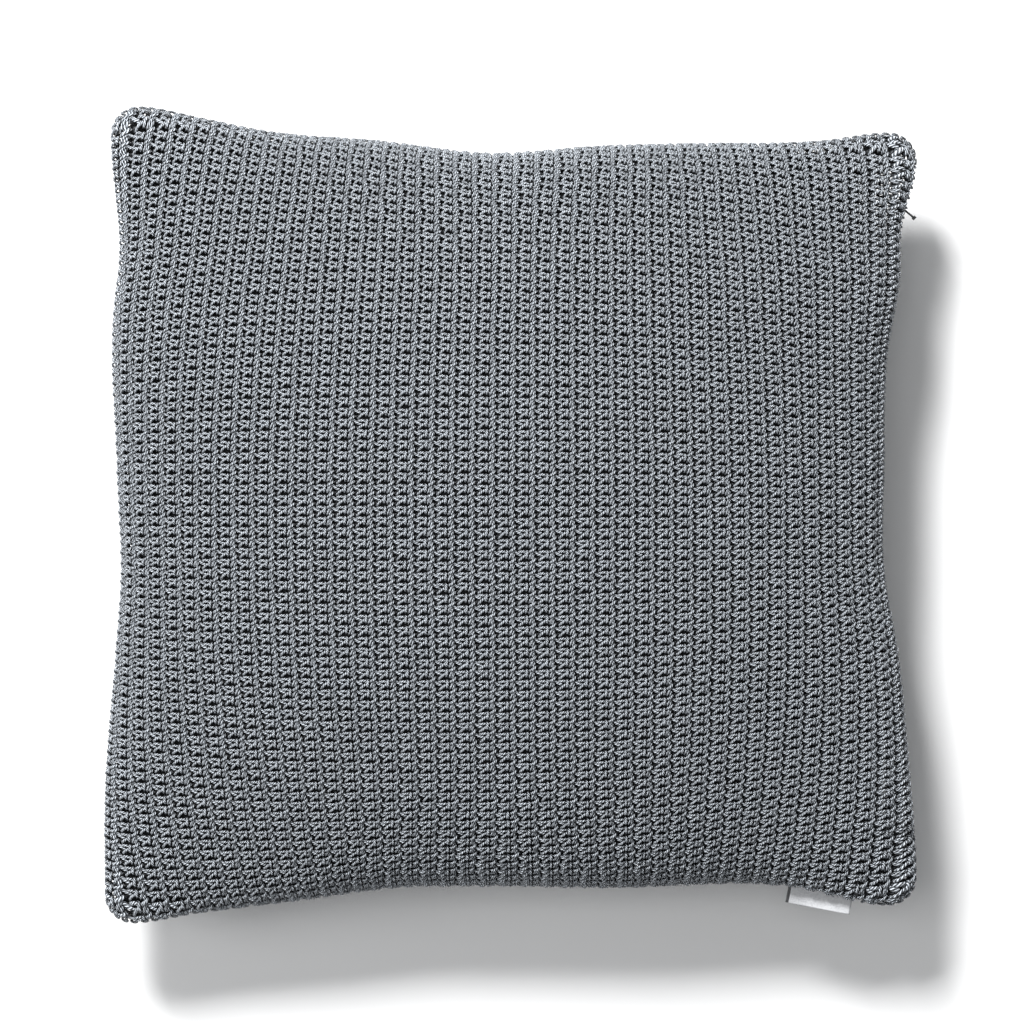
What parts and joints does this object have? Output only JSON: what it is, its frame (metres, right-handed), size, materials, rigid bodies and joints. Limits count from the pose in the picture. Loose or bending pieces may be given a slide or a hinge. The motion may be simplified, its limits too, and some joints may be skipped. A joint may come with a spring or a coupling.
{
  "type": "throw pillow",
  "caption": "Square crocheted throw pillow: removable cord cover with a concealed side zip and a blank label over a plain cased fibre pad.",
  "frame": {"origin": "under the middle of the cushion, on the surface that it rests on with its back down", "axes": "+Z out of the front face, through the thickness; +Y to the top edge; +X to the side with the zip"},
  "size_m": [0.5011, 0.5021, 0.128],
  "materials": {
    "crochet_cord": "grey twisted cord in single crochet, slightly glossy strands",
    "edge_cord": "the same cord in the joining seam",
    "label_satin": "light grey satin ribbon, blank",
    "sewing_thread": "dark grey polyester thread",
    "zip_tape": "dark grey woven polyester tape",
    "zip_nylon": "dark grey nylon coil",
    "zip_enamel": "dark grey enamelled zinc, satin",
    "case_cloth": "plain woven dark grey pad case",
    "polyester_fibre": "white polyester fibre"
  },
  "bodies": {
    "cushion": {"cover_front_panel": "crochet_cord", "cover_back_panel": "crochet_cord", "joining_yarn_long": "edge_cord", "joining_yarn_short": "edge_cord", "woven_label": "label_satin", "label_stitching": "sewing_thread", "care_label": "label_satin", "zip_coil_front": "zip_nylon", "zip_coil_back": "zip_nylon", "zip_tape_front": "zip_tape", "zip_tape_back": "zip_tape", "zip_stitching_front": "sewing_thread", "zip_stitching_back": "sewing_thread", "zip_top_stop_front": "zip_enamel", "zip_top_stop_back": "zip_enamel", "zip_bottom_stop": "zip_enamel", "inner_case_front": "case_cloth", "inner_case_back": "case_cloth", "inner_case_seam": "sewing_thread", "fibre_fill": "polyester_fibre"},
    "slider": {"zip_slider": "zip_enamel"},
    "pull": {"zip_pull_tab": "zip_enamel"}
  },
  "joints": [
    {"name": "zip_travel", "type": "slide", "parent": "cushion", "child": "slider", "axis": [0, -1, 0], "range_m": [0, 0.347], "deforming": ["zip_coil_front", "zip_coil_back"]},
    {"name": "pull_swing", "type": "hinge", "parent": "slider", "child": "pull", "pos_m": [0.2237, 0.2035, 0.062], "axis": [0, 0, 1], "range_deg": [-44, 50]}
  ]
}
